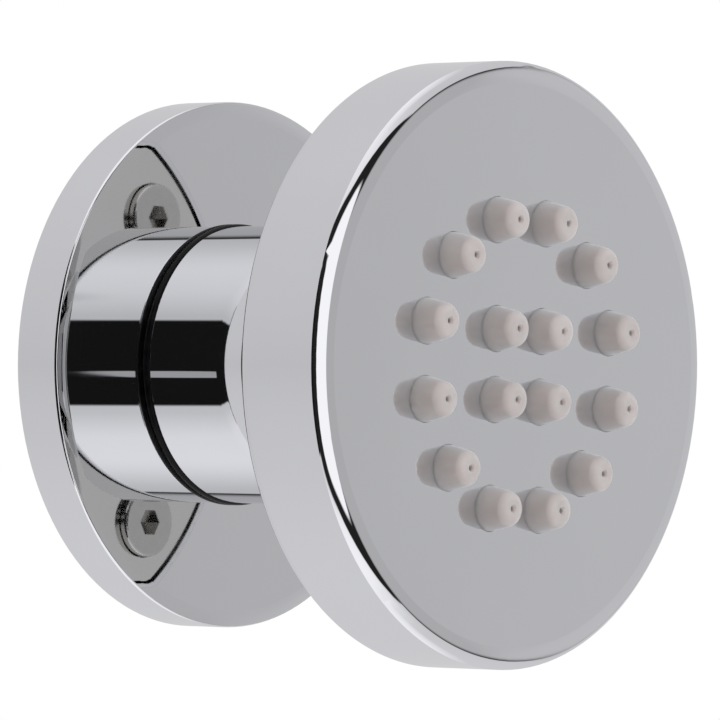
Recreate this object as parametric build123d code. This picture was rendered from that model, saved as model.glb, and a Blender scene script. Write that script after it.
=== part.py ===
from build123d import *
import os
from math import cos, radians, sin, sqrt, tan

# Shower body jet: a round wall plate, a short neck that holds a swivel ball, and a thick round
# head with soft spray nozzles. All sizes are in millimetres.
# The wall is the plane y = 0. The jet's axis is -Y, straight out of the wall, and +Z is up.
# Every place along the axis is given as a distance from the wall.

# Wall plate: its flat front rolls off a little towards a narrow rounded edge
plate_radius = 31.2
plate_depth = 6.15
plate_wall = 1.4
plate_edge_arc = 14.0
plate_edge_drop = 0.12
plate_edge_round = 0.3
wall_gasket_width = 2.7

# Inlet: pipe thread G1/2 behind the wall, hexagon and hub in front of it
pipe_thread_radius = 10.478
shank_length = 14.0
shank_chamfer = 1.0
shank_bore_radius = 6.0
insert_recess_radius = 7.5
insert_recess_depth = 5.0
hexagon_start = 1.0
hexagon_step = 1.0
hexagon_bevel = 30.0
hub_wall = 1.6
well_base = 0.8
well_shoulder = 3.0
well_gap = 0.4

# Inserts in the inlet
filter_thick = 1.6
filter_mesh_thick = 0.6
filter_rim = 1.2
filter_hole_radius = 0.65
filter_hole_pitch = 2.2
filter_hole_rings = 2
orifice_radius = 1.6
orifice_cone_depth = 1.2
restrictor_ring_section = 1.1

# Neck collar and the rubber ring under it
collar_wall = 2.4
collar_round = 0.5
collar_foot_round = 0.2
collar_lip = 4.4
collar_mouth_gap = 0.42
collar_mouth_land = 1.0
collar_mouth_flare = 22.0
collar_seal_section = 1.0
collar_seal_proud = 0.25

# Swivel ball, its stem and its seats
ball_radius = 11.0
ball_depth = 8.8
waterway_radius = 4.5
stem_radius = 7.6
stem_flats = 13.0
stem_flats_length = 5.0
stem_flange_step = 1.0
stem_flange_thick = 2.7
spigot_radius = 7.0
seat_wall = 1.4
seat_ring_section = 1.6
rear_seat_length = 3.6
rear_seat_offset = 3.0

# Spray head, from its face backwards
head_radius = 35.0
head_face = 49.4
face_edge_arc = 3.4
face_edge_drop = 1.15
back_round = 1.2
rim_wall = 1.5
face_wall = 2.2
mat_thick = 1.5
spray_plate_thick = 1.7
head_gasket_thick = 1.0
chamber_depth = 3.2
chamber_wall = 2.5
pocket_wall = 1.65
gasket_hold = 3.0
feed_hole_radius = 1.4
lock_nut_wall = 2.5
lock_nut_thick = 2.2
stem_ring_section = 1.6

# Nozzles: one soft mat, with an outer and an inner ring of nozzles
outer_ring_radius = 17.1
outer_ring_count = 12
outer_ring_angle = 15.0
inner_ring_radius = 5.75
inner_ring_count = 4
inner_ring_angle = 45.0
nozzle_length = 3.55
nozzle_base_radius = 2.65
nozzle_tip_radius = 1.9
nozzle_bulge = 0.03
nozzle_tip_round = 1.0
jet_radius = 0.3
jet_funnel_radius = 0.55
jet_funnel_depth = 0.3
nozzle_bore_radius = 1.5

# Screws that hold the back plate: M5 with low heads, for a 3 mm hexagon key
screw_count = 4
screw_angle = 45.0
screw_edge = 1.85
screw_radius = 2.5
screw_length = 8.0
screw_head_radius = 4.25
screw_head_height = 3.5
screw_head_proud = 1.1
screw_head_round = 0.4
screw_socket_flats = 3.0
screw_socket_depth = 2.0

# Clearances
thread_gap = 0.05
slip_gap = 0.15
nozzle_gap = 0.05
swivel_gap = 0.1
turn_gap = 0.3
screw_tip_gap = 0.3
back_plate_gap = 0.65

# Places along the axis, as distances from the wall
shank_end = -shank_length
insert_floor = shank_end + insert_recess_depth
filter_front = shank_end + filter_thick
restrictor_groove = (filter_front + insert_floor - restrictor_ring_section) / 2
plate_inside = plate_depth - plate_wall
collar_back = plate_depth + collar_seal_section
well_floor = hexagon_start + well_base
ball_centre = well_floor + well_gap + ball_radius
collar_front = ball_centre + ball_depth
lip_back = collar_front - collar_lip
flare_back = lip_back + collar_mouth_land
rear_seat_front = ball_centre - rear_seat_offset
rear_seat_back = rear_seat_front - rear_seat_length
rear_seat_step = rear_seat_back - seat_ring_section
front_seat_back = ball_centre + swivel_gap
front_seat_front = lip_back - swivel_gap
hub_front = front_seat_back - turn_gap
pocket_floor = head_face - face_wall
mat_back = pocket_floor - mat_thick
land = mat_back - spray_plate_thick
back_plate_front = land - head_gasket_thick
chamber_back = back_plate_front - chamber_depth
head_back = chamber_back - chamber_wall
spigot_end = chamber_back + lock_nut_thick
flange_back = head_back - stem_flange_thick
screw_top = head_back - screw_head_proud
screw_seat = screw_top + screw_head_height
screw_end = screw_seat + screw_length
nozzle_tip = head_face + nozzle_length

# Radii shared by pieces that fit each other
plate_bore = plate_radius - plate_wall
seat_radius = ball_radius + swivel_gap
hub_bore = ball_radius + seat_wall
hub_radius = hub_bore + hub_wall
well_radius = hub_bore - well_shoulder
hub_hole = hub_radius + slip_gap
collar_bore = hub_radius + thread_gap
collar_radius = collar_bore + collar_wall
collar_mouth = sqrt(ball_radius ** 2 - (lip_back - ball_centre) ** 2) + collar_mouth_gap
shell_bore = head_radius - rim_wall
back_plate_radius = shell_bore - back_plate_gap
stem_flange_radius = ball_radius + stem_flange_step
stem_ring_radius = (spigot_radius + stem_flange_radius) / 2
insert_radius = insert_recess_radius - thread_gap
nozzle_hole_radius = nozzle_base_radius + nozzle_gap
screw_hole_radius = screw_radius + slip_gap
screw_bore_radius = screw_head_radius + slip_gap
screw_thread_radius = screw_radius + thread_gap
screw_circle_radius = back_plate_radius - screw_bore_radius - screw_edge
pocket_radius = screw_circle_radius - screw_thread_radius - pocket_wall
pocket_piece_radius = pocket_radius - slip_gap
chamber_radius = pocket_radius - gasket_hold


def rolled_edge(radius, front, arc, drop):
    """A curve that leaves a flat front smoothly and meets the side in a crease."""
    width = sqrt(2 * arc * drop - drop ** 2)
    return TangentArc((radius - width, -front), (radius, drop - front), tangent=(1, 0))


def profile(outline, rounds=(), edge=None):
    """A flat face from (radius, distance) corners, with (radius, distance, size) corner rounds.

    An edge, if there is one, joins the last corner to the first.
    """
    corners = [(r, -s) for r, s in outline]
    if edge is None:
        face = make_face(Polyline(*corners, close=True))
    else:
        face = make_face(Polyline(edge @ 1, *corners, edge @ 0) + edge)
    for r, s, size in rounds:
        corner = face.vertices().sort_by_distance((r, -s))[0]
        face = fillet(corner, size)
    return face


def turned(outline, rounds=(), edge=None):
    """A solid turned about the jet's axis."""
    return revolve(profile(outline, rounds, edge), Axis.Y)


def rod(radius, start, end):
    """A round bar on the jet's axis."""
    return extrude(Plane.XZ.offset(start) * Circle(radius), end - start)


def tube(outer, inner, start, end):
    """A plain ring on the jet's axis."""
    return rod(outer, start, end) - rod(inner, start, end)


def hexagon(flats, start, end):
    """A hexagonal bar on the jet's axis, given across its flats."""
    return extrude(Plane.XZ.offset(start) * RegularPolygon(flats / 2, 6, major_radius=False), end - start)


def o_ring(radius, section, start):
    """A round rubber ring that starts at a distance from the wall."""
    return Pos(0, -start - section / 2, 0) * Rot(90, 0, 0) * Torus(radius, section / 2)


def ball(radius):
    """A sphere about the swivel's centre."""
    return Pos(0, -ball_centre, 0) * Sphere(radius)


def ring_places(radius, count, first_angle):
    """Places spread evenly round the jet's axis."""
    angles = [radians(first_angle + 360 * i / count) for i in range(count)]
    return [Pos(radius * cos(a), 0, radius * sin(a)) for a in angles]


nozzle_places = ring_places(outer_ring_radius, outer_ring_count, outer_ring_angle)
nozzle_places += ring_places(inner_ring_radius, inner_ring_count, inner_ring_angle)
screw_places = ring_places(screw_circle_radius, screw_count, screw_angle)


def wall_plate():
    """Cup-shaped cover with a hole for the hub."""
    outline = [
        (plate_radius, 0),
        (plate_bore, 0),
        (plate_bore, plate_inside),
        (hub_hole, plate_inside),
        (hub_hole, plate_depth),
    ]
    edge = rolled_edge(plate_radius, plate_depth, plate_edge_arc, plate_edge_drop)
    return turned(outline, [(plate_radius, plate_depth - plate_edge_drop, plate_edge_round)], edge)


def wall_gasket():
    outer = plate_bore - thread_gap
    return tube(outer, outer - wall_gasket_width, 0, plate_inside)


def inlet_body():
    """Threaded shank, hexagon and hub in one turned piece, with the well for the ball."""
    shank = turned([
        (0, shank_end),
        (pipe_thread_radius - shank_chamfer, shank_end),
        (pipe_thread_radius, shank_end + shank_chamfer),
        (pipe_thread_radius, hexagon_start),
        (0, hexagon_start),
    ])
    flat_radius = hub_radius + hexagon_step
    grip_length = plate_inside - hexagon_start
    bevelled = turned([
        (0, hexagon_start),
        (flat_radius, hexagon_start),
        (flat_radius + grip_length / tan(radians(hexagon_bevel)), plate_inside),
        (0, plate_inside),
    ])
    grip = hexagon(2 * flat_radius, hexagon_start, plate_inside) & bevelled
    hub = rod(hub_radius, plate_inside, hub_front)
    bore = rod(shank_bore_radius, shank_end, well_floor)
    recess = rod(insert_recess_radius, shank_end, insert_floor)
    well = rod(well_radius, well_floor, rear_seat_step)
    seat = rod(hub_bore, rear_seat_step, hub_front)
    return shank + grip + hub - bore - recess - well - seat


def inlet_filter():
    """A moulded sieve: a rim, and a thin floor with holes in rings."""
    solid = rod(insert_radius, shank_end, filter_front)
    solid -= rod(insert_radius - filter_rim, shank_end, filter_front - filter_mesh_thick)
    hole = rod(filter_hole_radius, shank_end, filter_front)
    holes = [hole]
    for ring in range(1, filter_hole_rings + 1):
        holes += [place * hole for place in ring_places(ring * filter_hole_pitch, 6 * ring, 0)]
    return solid - holes


def flow_restrictor():
    """Disc with a funnelled orifice and a groove for its sealing ring."""
    outline = [
        (orifice_radius + orifice_cone_depth, filter_front),
        (insert_radius, filter_front),
        (insert_radius, insert_floor),
        (orifice_radius, insert_floor),
        (orifice_radius, filter_front + orifice_cone_depth),
    ]
    groove_end = restrictor_groove + restrictor_ring_section
    groove = tube(insert_radius, insert_radius - restrictor_ring_section, restrictor_groove, groove_end)
    return turned(outline) - groove


def restrictor_o_ring():
    return o_ring(insert_radius - restrictor_ring_section / 2, restrictor_ring_section, restrictor_groove)


def collar_seal():
    middle = collar_radius + collar_seal_proud - collar_seal_section / 2
    return o_ring(middle, collar_seal_section, plate_depth)


def neck_collar():
    """Cap nut over the hub; its lip keeps the ball in, and its flared mouth lets the stem tilt."""
    flare = (collar_front - flare_back) * tan(radians(collar_mouth_flare))
    outline = [
        (collar_bore, collar_back),
        (collar_radius, collar_back),
        (collar_radius, collar_front),
        (collar_mouth + flare, collar_front),
        (collar_mouth, flare_back),
        (collar_mouth, lip_back),
        (collar_bore, lip_back),
    ]
    foot = (collar_radius, collar_back, collar_foot_round)
    return turned(outline, [foot, (collar_radius, collar_front, collar_round)])


def rear_ball_seat():
    return rod(hub_bore - thread_gap, rear_seat_back, rear_seat_front) - ball(seat_radius)


def rear_seat_o_ring():
    return o_ring(hub_bore - seat_ring_section / 2 - slip_gap, seat_ring_section, rear_seat_step)


def front_ball_seat():
    return rod(collar_bore - swivel_gap, front_seat_back, front_seat_front) - ball(seat_radius)


def swivel_ball():
    """Ball, stem, flange and threaded spigot in one turned piece, with the waterway through it."""
    solid = ball(ball_radius) + rod(stem_radius, ball_centre, head_back)
    solid += rod(stem_flange_radius, flange_back, head_back)
    solid += rod(spigot_radius, head_back, spigot_end)
    solid -= rod(waterway_radius, ball_centre - ball_radius, spigot_end)
    half_groove = stem_ring_section / 2
    groove_back = head_back - stem_ring_section
    solid -= tube(stem_ring_radius + half_groove, stem_ring_radius - half_groove, groove_back, head_back)
    flat_cut = stem_radius - stem_flats / 2
    middle = flange_back - stem_flats_length / 2
    for side in (-1, 1):
        cutter = Box(flat_cut, stem_flats_length, 2 * stem_radius)
        solid -= Pos(side * (stem_flats + flat_cut) / 2, -middle, 0) * cutter
    return solid


def stem_o_ring():
    return o_ring(stem_ring_radius, stem_ring_section, head_back - stem_ring_section)


def stem_lock_nut():
    bore = rod(spigot_radius + thread_gap, chamber_back, spigot_end)
    return hexagon(2 * (spigot_radius + lock_nut_wall), chamber_back, spigot_end) - bore


def back_plate():
    """Disc that closes the head, hollowed for the water chamber and bored for the screws."""
    solid = rod(back_plate_radius, head_back, back_plate_front)
    solid -= rod(chamber_radius, chamber_back, back_plate_front)
    solid -= rod(spigot_radius + slip_gap, head_back, chamber_back)
    hole = rod(screw_hole_radius, head_back, back_plate_front)
    hole += rod(screw_bore_radius, head_back, screw_seat)
    return solid - [place * hole for place in screw_places]


def back_screws():
    rim = (screw_head_radius, screw_top)
    outline = [(0, screw_top), rim, (screw_head_radius, screw_seat), (0, screw_seat)]
    screw = turned(outline, [(*rim, screw_head_round)]) + rod(screw_radius, screw_seat, screw_end)
    screw -= hexagon(screw_socket_flats, screw_top, screw_top + screw_socket_depth)
    return Compound(children=[place * screw for place in screw_places])


def head_gasket():
    solid = tube(back_plate_radius, chamber_radius, back_plate_front, land)
    hole = rod(screw_hole_radius, back_plate_front, land)
    return solid - [place * hole for place in screw_places]


def head_shell():
    """Cup with the spray face, a land for the gasket and a pocket for the nozzle mat."""
    outline = [
        (head_radius, head_back),
        (shell_bore, head_back),
        (shell_bore, land),
        (pocket_radius, land),
        (pocket_radius, pocket_floor),
        (0, pocket_floor),
        (0, head_face),
    ]
    edge = rolled_edge(head_radius, head_face, face_edge_arc, face_edge_drop)
    nozzle_hole = rod(nozzle_hole_radius, pocket_floor, head_face)
    screw_thread = rod(screw_thread_radius, land, screw_end + screw_tip_gap)
    solid = turned(outline, [(head_radius, head_back, back_round)], edge)
    solid -= [place * nozzle_hole for place in nozzle_places]
    return solid - [place * screw_thread for place in screw_places]


def nozzle():
    """One nozzle: straight through the spray face, then a full taper to a rounded tip."""
    taper = nozzle_base_radius - nozzle_tip_radius
    side_length = sqrt(taper ** 2 + nozzle_length ** 2)
    middle_radius = nozzle_base_radius - taper / 2 + nozzle_bulge * nozzle_length / side_length
    middle = head_face + nozzle_length / 2 + nozzle_bulge * taper / side_length
    base = (nozzle_base_radius, -head_face)
    tip = (nozzle_tip_radius, -nozzle_tip)
    side = ThreePointArc(base, (middle_radius, -middle), tip)
    bore = Polyline(
        tip,
        (jet_funnel_radius, -nozzle_tip),
        (jet_radius, -nozzle_tip + jet_funnel_depth),
        (nozzle_bore_radius, -mat_back),
        (nozzle_base_radius, -mat_back),
        base,
    )
    face = make_face(side + bore)
    rim = face.vertices().sort_by_distance(tip)[0]
    return revolve(fillet(rim, nozzle_tip_round), Axis.Y)


def nozzle_mat():
    """The sheet behind the spray face and its nozzles, moulded in one."""
    sheet = rod(pocket_piece_radius, mat_back, pocket_floor)
    hole = rod(nozzle_base_radius, mat_back, pocket_floor)
    sheet -= [place * hole for place in nozzle_places]
    one_nozzle = nozzle()
    return sheet + [place * one_nozzle for place in nozzle_places]


def spray_plate():
    feed_hole = rod(feed_hole_radius, land, mat_back)
    return rod(pocket_piece_radius, land, mat_back) - [place * feed_hole for place in nozzle_places]


pieces = [
    wall_plate, wall_gasket, inlet_body, inlet_filter, flow_restrictor, restrictor_o_ring,
    collar_seal, neck_collar, rear_ball_seat, rear_seat_o_ring, front_ball_seat, swivel_ball,
    stem_o_ring, stem_lock_nut, back_plate, back_screws, head_gasket, head_shell, nozzle_mat,
    spray_plate,
]

os.makedirs("parts", exist_ok=True)
for piece in pieces:
    export_step(piece(), f"parts/{piece.__name__}.step")
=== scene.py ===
import math

import bmesh
import bpy
from mathutils import Matrix, Vector


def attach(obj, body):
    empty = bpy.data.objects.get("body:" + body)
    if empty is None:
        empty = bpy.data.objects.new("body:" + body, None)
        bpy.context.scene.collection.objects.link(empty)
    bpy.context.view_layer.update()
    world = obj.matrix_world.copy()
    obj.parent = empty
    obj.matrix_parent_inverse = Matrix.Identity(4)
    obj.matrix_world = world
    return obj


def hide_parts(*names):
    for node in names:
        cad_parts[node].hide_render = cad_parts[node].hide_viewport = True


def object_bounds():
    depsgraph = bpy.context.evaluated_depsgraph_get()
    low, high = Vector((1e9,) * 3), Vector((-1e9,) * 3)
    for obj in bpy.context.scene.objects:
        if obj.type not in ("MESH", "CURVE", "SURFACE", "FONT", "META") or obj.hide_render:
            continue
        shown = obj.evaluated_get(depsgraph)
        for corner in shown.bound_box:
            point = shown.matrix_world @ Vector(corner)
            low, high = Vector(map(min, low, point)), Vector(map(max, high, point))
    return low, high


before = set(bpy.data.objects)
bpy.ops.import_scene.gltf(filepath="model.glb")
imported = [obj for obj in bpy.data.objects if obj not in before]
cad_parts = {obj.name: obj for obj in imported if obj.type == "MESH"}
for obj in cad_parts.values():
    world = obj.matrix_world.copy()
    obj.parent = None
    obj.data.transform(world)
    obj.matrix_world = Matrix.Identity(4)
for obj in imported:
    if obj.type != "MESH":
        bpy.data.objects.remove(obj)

cad_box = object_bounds()

# The photograph's camera, from a fit to the outlines of the plate and the head: degrees and metres
photo_azimuth = -49.53
photo_elevation = -1.69
photo_roll = 1.56
camera_distance = 0.84245
camera_offset_right = 0.01945
camera_offset_up = 0.00055
camera_clip = 0.01, 100.0
image_size = 720
focal_length_pixels = 7057
sensor_width_mm = 36.0

# The tent round the object, seen only in reflections: pairs of height and brightness. A height of 1
# is straight up. The front takes over from the sides as a direction turns towards the camera.
tent_front = (
    (-1.00, 1.14), (-0.77, 1.14), (-0.66, 1.10), (-0.49, 0.84), (0.00, 0.62),
    (0.49, 0.74), (0.66, 0.94), (0.77, 1.02), (0.87, 1.12), (1.00, 1.12),
)
tent_sides = (
    (-1.00, 1.12), (-0.88, 1.08), (-0.78, 0.75), (0.00, 0.645),
    (0.70, 0.70), (0.79, 0.72), (0.88, 1.08), (1.00, 1.12),
)
front_from, front_to = 0.0, 0.5
studio_tint = (0.975, 0.972, 1.0)

# Cards in the tent, each over the ones before it: where the card faces from, its left and right
# edges, its lower and upper edges, the softness of its edges and its brightness. Angles are degrees
# from the camera, right and up as the camera sees them.
studio_cards = (
    (-45, (-78, -5), (-47, 47), 0.15, 0.010),
    (0, (-20, 22), (-25, 27), 0.15, 0.010),
    (2, (1.18, 2.4), (-8, -4), 0.40, 0.50),
    (48, (13, 83), (-38, 44), 0.15, 0.018),
    (108, (62, 152), (-33.5, 38), 0.12, 0.03),
    (108, (58, 150), (-30, 34), 0.50, 0.515),
    (125.5, (100, 151), (-30, 34), 0.95, 0.625),
    (42, (21, 61), (-27, 34), 0.25, 1.18),
)
least_card_depth = 0.001

# Light for all that isn't a mirror: the even light of the world, and softboxes with their name,
# azimuth and elevation from the camera in degrees, distance and size in metres, and power in watts
ambient_light = 0.58
softboxes = (
    ("key_softbox", 50, 4, 0.8, 0.6, 3.0),
    ("fill_softbox", -60, 30, 0.9, 0.7, 0.6),
)

# The floor, in metres. It is wide enough to fill the views from above and stays out of the photo's.
floor_drop = 0.06
floor_radius = 1.2
floor_segments = 96

# Pipe thread G1/2 on the inlet's shank, in metres. The crest and flank are shares of the pitch.
thread_radius = 0.010478
thread_pitch = 0.001814
thread_depth = 0.001162
thread_crest = 0.15
thread_flank = 0.7
rows_per_turn = 14
sharp_edge_degrees = 28

# Points of a mesh that are closer than this, in metres, are one point. The second is for points that
# are computed, and for points on a given surface.
same_point = 1e-7
same_place = 1e-6
angle_digits = 5

# Colours of the finishes, each as its darker and its lighter patches
chrome_tones = (0.765, 0.770, 0.780), (0.795, 0.800, 0.810)
dull_chrome_tones = (0.665, 0.660, 0.645), (0.695, 0.690, 0.675)
silicone_tones = (0.51, 0.467, 0.454), (0.56, 0.517, 0.504)
brass_tones = (0.60, 0.41, 0.16), (0.76, 0.57, 0.28)
steel_tones = (0.50, 0.49, 0.47), (0.58, 0.57, 0.55)
foam_tones = (0.02, 0.02, 0.02), (0.1, 0.1, 0.1)
rubber_tones = (0.003, 0.003, 0.004), (0.008, 0.008, 0.009)
acetal_tones = (0.74, 0.73, 0.69), (0.82, 0.81, 0.78)
moulding_tones = (0.24, 0.25, 0.26), (0.32, 0.33, 0.34)
floor_tones = (0.89, 0.89, 0.89), (0.905, 0.905, 0.905)

# Most of a noise texture's values lie between these two
noise_span = 0.3, 0.7


# The camera's own directions
def turned_axes(azimuth, elevation, roll):
    """Right, up and back of a camera that looks at the object from an azimuth and elevation."""
    a, e, r = (math.radians(angle) for angle in (azimuth, elevation, roll))
    back = Vector((math.sin(a) * math.cos(e), -math.cos(a) * math.cos(e), math.sin(e)))
    right = Vector((math.cos(a), math.sin(a), 0.0))
    up = back.cross(right)
    return (
        math.cos(r) * right + math.sin(r) * up,
        math.cos(r) * up - math.sin(r) * right,
        back,
    )


view_right, view_up, view_back = turned_axes(photo_azimuth, photo_elevation, photo_roll)


def view_direction(azimuth, elevation=0.0):
    """A direction at an azimuth and elevation from the camera."""
    a, e = math.radians(azimuth), math.radians(elevation)
    level = math.sin(a) * view_right + math.cos(a) * view_back
    return math.cos(e) * level + math.sin(e) * view_up


# Node helpers
def node(tree, kind, inputs=None, **settings):
    """A new node, with its settings and its input values or links."""
    made = tree.nodes.new(kind)
    for name, value in settings.items():
        setattr(made, name, value)
    for key, value in (inputs or {}).items():
        if isinstance(value, bpy.types.NodeSocket):
            tree.links.new(value, made.inputs[key])
        else:
            made.inputs[key].default_value = value
    return made


def calc(tree, operation, *values):
    """The result of one arithmetic step on numbers or sockets."""
    return node(tree, "ShaderNodeMath", dict(enumerate(values)), operation=operation).outputs[0]


def along(tree, direction, axis):
    """How far a direction socket points along a fixed axis."""
    step = node(tree, "ShaderNodeVectorMath", {0: direction, 1: axis}, operation="DOT_PRODUCT")
    return step.outputs["Value"]


def ramp(tree, value, start, end, low=0.0, high=1.0):
    """A smooth step from low to high while value goes from start to end."""
    inputs = {"Value": value, "From Min": start, "From Max": end, "To Min": low, "To Max": high}
    made = node(tree, "ShaderNodeMapRange", inputs, interpolation_type="SMOOTHSTEP")
    return made.outputs["Result"]


def blend(tree, factor, first, second):
    """A colour mixed from two colours or colour sockets, by the mix node's colour inputs 6 and 7."""
    inputs = {0: factor}
    for key, colour in ((6, first), (7, second)):
        inputs[key] = colour if isinstance(colour, bpy.types.NodeSocket) else (*colour, 1.0)
    return node(tree, "ShaderNodeMix", inputs, data_type="RGBA").outputs[2]


# Studio
def cool(level):
    """A grey of a brightness, with the faint blue of the studio."""
    return tuple(share * level for share in studio_tint)


def tent(tree, height, levels):
    """Colour of the tent by height, from pairs of height and brightness."""
    place = calc(tree, "MULTIPLY_ADD", height, 0.5, 0.5)
    made = node(tree, "ShaderNodeValToRGB", {"Fac": place})
    stops = made.color_ramp.elements
    while len(stops) < len(levels):
        stops.new(1.0)
    for stop, (level_height, level) in zip(stops, levels):
        stop.position = 0.5 + 0.5 * level_height
        stop.color = (*cool(level), 1.0)
    return made.outputs["Color"]


def fourth_power(tree, value, low, high):
    """Fourth power of the distance from the middle of a span, 1 at its ends."""
    shifted = calc(tree, "SUBTRACT", value, (low + high) / 2)
    square = calc(tree, "POWER", calc(tree, "DIVIDE", shifted, (high - low) / 2), 2.0)
    return calc(tree, "POWER", square, 2.0)


def card(tree, direction, facing, sides, heights, softness):
    """Mask of an upright flat card with rounded corners that faces the object from an azimuth."""
    depth = along(tree, direction, view_direction(facing))
    front = calc(tree, "MAXIMUM", depth, least_card_depth)
    across = calc(tree, "DIVIDE", along(tree, direction, view_direction(facing + 90)), front)
    height = calc(tree, "DIVIDE", along(tree, direction, view_up), front)
    left, right = (math.tan(math.radians(side - facing)) for side in sides)
    low, high = (math.tan(math.radians(level)) for level in heights)
    sideways = fourth_power(tree, across, left, right)
    upright = fourth_power(tree, height, low, high)
    reach = calc(tree, "ADD", sideways, upright)
    inside = ramp(tree, reach, 1.0 + softness, 1.0 - softness)
    return calc(tree, "MULTIPLY", inside, calc(tree, "GREATER_THAN", depth, 0.0))


def glow(tree, colour, strength=1.0):
    """A background of a colour or colour socket."""
    return node(tree, "ShaderNodeBackground", {"Color": colour, "Strength": strength}).outputs[0]


def choose(tree, factor, first, second):
    """The first shader where the factor is 0 and the second where it is 1."""
    return node(tree, "ShaderNodeMixShader", {0: factor, 1: first, 2: second}).outputs[0]


def studio_world():
    """White to the camera, the studio to glossy rays and an even soft light to the rest."""
    world = bpy.data.worlds.new("studio")
    world.use_nodes = True
    tree = world.node_tree
    tree.nodes.clear()
    direction = node(tree, "ShaderNodeTexCoord").outputs["Generated"]
    height = along(tree, direction, view_up)
    frontness = ramp(tree, along(tree, direction, view_back), front_from, front_to)
    room = blend(tree, frontness, tent(tree, height, tent_sides), tent(tree, height, tent_front))
    for facing, sides, heights, softness, level in studio_cards:
        mask = card(tree, direction, facing, sides, heights, softness)
        room = blend(tree, mask, room, cool(level))
    rays = node(tree, "ShaderNodeLightPath").outputs
    white = (1.0, 1.0, 1.0, 1.0)
    unseen = choose(tree, rays["Is Glossy Ray"], glow(tree, white, ambient_light), glow(tree, room))
    seen = calc(tree, "MAXIMUM", rays["Is Camera Ray"], rays["Is Transmission Ray"])
    shown = choose(tree, seen, unseen, glow(tree, white))
    node(tree, "ShaderNodeOutputWorld", {"Surface": shown})
    bpy.context.scene.world = world


def studio_camera():
    """The camera at the photograph's place, with the photograph's lens."""
    data = bpy.data.cameras.new("photo_camera")
    data.sensor_width = sensor_width_mm
    data.lens = focal_length_pixels / image_size * sensor_width_mm
    data.clip_start, data.clip_end = camera_clip
    camera = bpy.data.objects.new("photo_camera", data)
    place = camera_offset_right * view_right + camera_offset_up * view_up + camera_distance * view_back
    turn = Matrix((view_right, view_up, view_back)).transposed()
    camera.matrix_world = Matrix.Translation(place) @ turn.to_4x4()
    bpy.context.scene.collection.objects.link(camera)
    bpy.context.scene.camera = camera


def soft_lamp(name, azimuth, elevation, distance, size, power):
    """A square softbox that faces the object. The chrome mirrors the cards and not the lamps."""
    data = bpy.data.lights.new(name, "AREA")
    data.shape = "SQUARE"
    data.size = size
    data.energy = power
    lamp = bpy.data.objects.new(name, data)
    back = view_direction(azimuth, elevation)
    turn = back.to_track_quat("Z", "Y").to_matrix()
    lamp.matrix_world = Matrix.Translation(distance * back) @ turn.to_4x4()
    lamp.visible_camera = False
    lamp.visible_glossy = False
    bpy.context.scene.collection.objects.link(lamp)


def studio_floor(material):
    """A pale round floor below the object, for its shadow. The chrome mirrors the tent instead."""
    mesh = bpy.data.meshes.new("studio_floor")
    shape = bmesh.new()
    bmesh.ops.create_circle(shape, cap_ends=True, segments=floor_segments, radius=floor_radius)
    shape.to_mesh(mesh)
    shape.free()
    mesh.materials.append(material)
    floor = bpy.data.objects.new("studio_floor", mesh)
    floor.location.z = cad_box[0][2] - floor_drop
    floor.visible_glossy = False
    bpy.context.scene.collection.objects.link(floor)


# Materials
def new_material(name):
    """A material, its node tree, its shader and the place on the object in metres."""
    material = bpy.data.materials.new(name)
    material.use_nodes = True
    tree = material.node_tree
    place = node(tree, "ShaderNodeTexCoord").outputs["Object"]
    return material, tree, tree.nodes["Principled BSDF"], place


def link(tree, shader, **sockets):
    """Link sockets to the shader's inputs, which are named with _ for a space."""
    for name, socket in sockets.items():
        tree.links.new(socket, shader.inputs[name.replace("_", " ")])


def fix(shader, **values):
    """Set values on the shader's own inputs, which are named with _ for a space."""
    for name, value in values.items():
        shader.inputs[name.replace("_", " ")].default_value = value


def noise(tree, place, scale, detail):
    """A noise of 0 to 1, with about so many patches to the metre and so many finer layers."""
    inputs = {"Vector": place, "Scale": scale, "Detail": detail}
    return node(tree, "ShaderNodeTexNoise", inputs).outputs["Fac"]


def bumped(tree, height, depth):
    """A normal from a height socket of 0 to 1 that stands for so many metres."""
    return node(tree, "ShaderNodeBump", {"Height": height, "Distance": depth}).outputs["Normal"]


def lathe_place(tree, place):
    """Coordinates by radius and distance along the jet's axis, so that a grain runs round the axis."""
    parts = node(tree, "ShaderNodeSeparateXYZ", {"Vector": place}).outputs
    flat = node(tree, "ShaderNodeCombineXYZ", {"X": parts["X"], "Z": parts["Z"]}).outputs["Vector"]
    radius = node(tree, "ShaderNodeVectorMath", {0: flat}, operation="LENGTH").outputs["Value"]
    return node(tree, "ShaderNodeCombineXYZ", {"X": radius, "Y": parts["Y"]}).outputs["Vector"]


def chrome(name, tones, roughness):
    """Polished plating: a mirror with a faint haze and the slow waves that polishing leaves."""
    material, tree, shader, place = new_material(name)
    haze = noise(tree, place, scale=70.0, detail=4.0)
    waves = noise(tree, place, scale=45.0, detail=1.0)
    link(tree, shader, Base_Color=blend(tree, haze, *tones))
    link(tree, shader, Roughness=ramp(tree, haze, *noise_span, *roughness))
    link(tree, shader, Normal=bumped(tree, waves, depth=0.000008))
    fix(shader, Metallic=1.0)
    return material


def silicone():
    """Soft warm grey rubber with a matt bloom; light goes some way into it."""
    material, tree, shader, place = new_material("grey_silicone")
    cloud = ramp(tree, noise(tree, place, scale=320.0, detail=3.0), *noise_span)
    skin = noise(tree, place, scale=4000.0, detail=2.0)
    link(tree, shader, Base_Color=blend(tree, cloud, *silicone_tones))
    link(tree, shader, Roughness=ramp(tree, cloud, 0.0, 1.0, low=0.42, high=0.55))
    link(tree, shader, Normal=bumped(tree, skin, depth=0.000004))
    fix(shader, Subsurface_Weight=1.0, Subsurface_Radius=(1.0, 0.86, 0.82), Subsurface_Scale=0.003)
    fix(shader, Sheen_Weight=0.9, Sheen_Roughness=0.5, Sheen_Tint=(0.88, 0.93, 1.0, 1.0))
    return material


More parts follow.
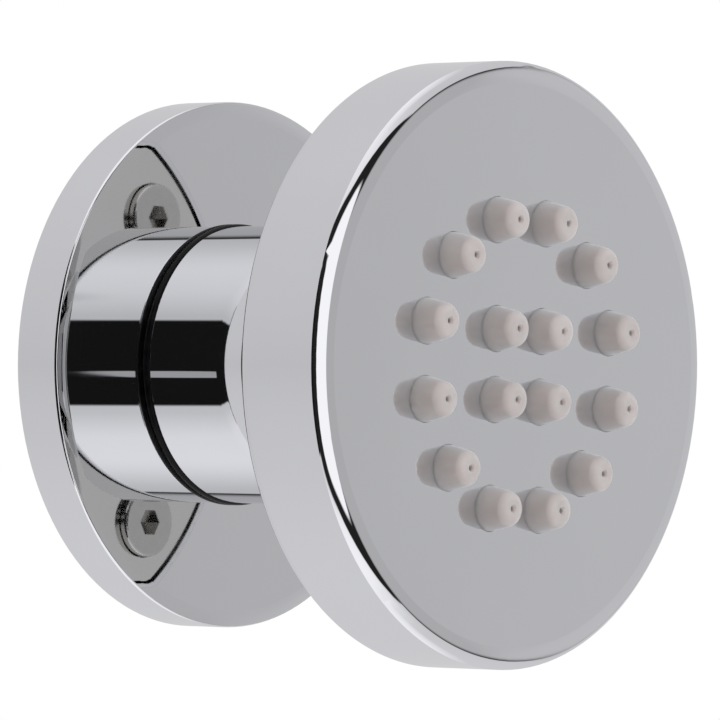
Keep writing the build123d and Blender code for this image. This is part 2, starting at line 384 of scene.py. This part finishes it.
def turned_brass():
    """Brass from the lathe: fine tool lines round the axis, a little tarnish in patches."""
    material, tree, shader, place = new_material("turned_brass")
    lines = noise(tree, lathe_place(tree, place), scale=9000.0, detail=3.0)
    tarnish = noise(tree, place, scale=260.0, detail=4.0)
    shade = ramp(tree, calc(tree, "ADD", lines, tarnish), 0.7, 1.3)
    link(tree, shader, Base_Color=blend(tree, shade, *brass_tones))
    link(tree, shader, Roughness=ramp(tree, tarnish, *noise_span, low=0.2, high=0.36))
    link(tree, shader, Normal=bumped(tree, lines, depth=0.000004))
    fix(shader, Metallic=1.0)
    return material


def tumbled_steel():
    """Stainless steel with the soft gloss of a tumbled finish."""
    material, tree, shader, place = new_material("tumbled_steel")
    grain = noise(tree, place, scale=1200.0, detail=3.0)
    link(tree, shader, Base_Color=blend(tree, grain, *steel_tones))
    link(tree, shader, Roughness=ramp(tree, grain, *noise_span, low=0.14, high=0.20))
    link(tree, shader, Normal=bumped(tree, grain, depth=0.000001))
    fix(shader, Metallic=1.0)
    return material


def moulded(name, tones, scale, roughness, depth, gloss=0.5):
    """Rubber, plastic or a painted floor: a fine mottle in colour, gloss and height."""
    material, tree, shader, place = new_material(name)
    grain = noise(tree, place, scale, detail=4.0)
    link(tree, shader, Base_Color=blend(tree, ramp(tree, grain, *noise_span), *tones))
    link(tree, shader, Roughness=ramp(tree, grain, *noise_span, *roughness))
    link(tree, shader, Normal=bumped(tree, grain, depth))
    fix(shader, Specular_IOR_Level=gloss)
    return material


def foam():
    """Closed-cell foam: small round cells with lighter walls."""
    material, tree, shader, place = new_material("cell_foam")
    made = node(tree, "ShaderNodeTexVoronoi", {"Vector": place, "Scale": 1600.0})
    cells = made.outputs["Distance"]
    link(tree, shader, Base_Color=blend(tree, ramp(tree, cells, 0.2, 0.7), *foam_tones))
    link(tree, shader, Roughness=ramp(tree, cells, 0.0, 1.0, low=0.75, high=0.95))
    link(tree, shader, Normal=bumped(tree, cells, depth=0.0001))
    return material


# The inlet's thread
def thread_cut(angle, height, low, high):
    """How deep the thread is cut at an angle and height, with a run-out at both ends."""
    turn = (height / thread_pitch - angle / math.tau) % 1.0
    flank = min(max((abs(2.0 * turn - 1.0) - thread_crest) / thread_flank, 0.0), 1.0)
    run_out = min(height - low, high - height) / thread_pitch
    return thread_depth * flank * flank * (3.0 - 2.0 * flank) * min(run_out, 1.0)


def thread_rows(shape, angles, low, high):
    """Rings of points on the thread, from the shank's low end to its high end."""
    count = round((high - low) / thread_pitch * rows_per_turn)
    rows = []
    for step in range(count + 1):
        height = low + (high - low) * step / count
        radii = [thread_radius - thread_cut(angle, height, low, high) for angle in angles]
        places = [(r * math.sin(a), height, r * math.cos(a)) for r, a in zip(radii, angles)]
        rows.append([shape.verts.new(place) for place in places])
    return rows


def cut_thread(shape):
    """Put the thread in the place of the shank's plain side."""
    def on_shank(vert):
        return abs(math.hypot(vert.co.x, vert.co.z) - thread_radius) < same_place

    plain = [face for face in shape.faces if all(on_shank(vert) for vert in face.verts)]
    rim = {vert for face in plain for vert in face.verts}
    low, high = min(vert.co.y for vert in rim), max(vert.co.y for vert in rim)
    end = [vert.co for vert in rim if vert.co.y > high - same_place]
    angles = sorted({round(math.atan2(place.x, place.z), angle_digits) for place in end})
    bmesh.ops.delete(shape, geom=plain, context="FACES")
    rows = thread_rows(shape, angles, low, high)
    for lower, upper in zip(rows, rows[1:]):
        for i in range(len(angles)):
            shape.faces.new((lower[i - 1], upper[i - 1], upper[i], lower[i]))
    bmesh.ops.remove_doubles(shape, verts=shape.verts, dist=same_place)
    bmesh.ops.recalc_face_normals(shape, faces=shape.faces)


def threaded_inlet():
    """The inlet body with the thread cut into its plain shank."""
    shape = bmesh.new()
    shape.from_mesh(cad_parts["inlet_body"].data)
    bmesh.ops.remove_doubles(shape, verts=shape.verts, dist=same_point)
    cut_thread(shape)
    mesh = bpy.data.meshes.new("threaded_inlet")
    shape.to_mesh(mesh)
    shape.free()
    mesh.shade_smooth()
    mesh.set_sharp_from_angle(angle=math.radians(sharp_edge_degrees))
    piece = bpy.data.objects.new("threaded_inlet", mesh)
    bpy.context.scene.collection.objects.link(piece)
    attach(piece, "wall_fitting")
    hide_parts("inlet_body")
    return piece


# Finishes by the part's material slots, and by node where a node differs from its slot
finishes = {
    "chrome": chrome("chrome_plate", chrome_tones, roughness=(0.012, 0.035)),
    "silicone": silicone(),
    "brass": turned_brass(),
    "steel": tumbled_steel(),
    "black_rubber": moulded(
        "black_rubber", rubber_tones, scale=900.0, roughness=(0.20, 0.28), depth=0.000001, gloss=0.12
    ),
    "foam": foam(),
    "white_plastic": moulded(
        "acetal", acetal_tones, scale=800.0, roughness=(0.35, 0.45), depth=0.000005
    ),
    "grey_plastic": moulded(
        "grey_moulding", moulding_tones, scale=1500.0, roughness=(0.4, 0.5), depth=0.00001
    ),
}
node_finishes = {
    "back_plate": chrome("dull_chrome", dull_chrome_tones, roughness=(0.06, 0.09)),
}
floor_paint = moulded("pale_floor", floor_tones, scale=40.0, roughness=(0.7, 0.8), depth=0.00003)

for name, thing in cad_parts.items():
    for place in thing.material_slots:
        place.material = node_finishes.get(name, finishes[place.material.name])
threaded_inlet().data.materials.append(finishes["brass"])

studio_world()
studio_camera()
studio_floor(floor_paint)
for softbox in softboxes:
    soft_lamp(*softbox)

scene = bpy.context.scene
scene.view_settings.view_transform = "Standard"
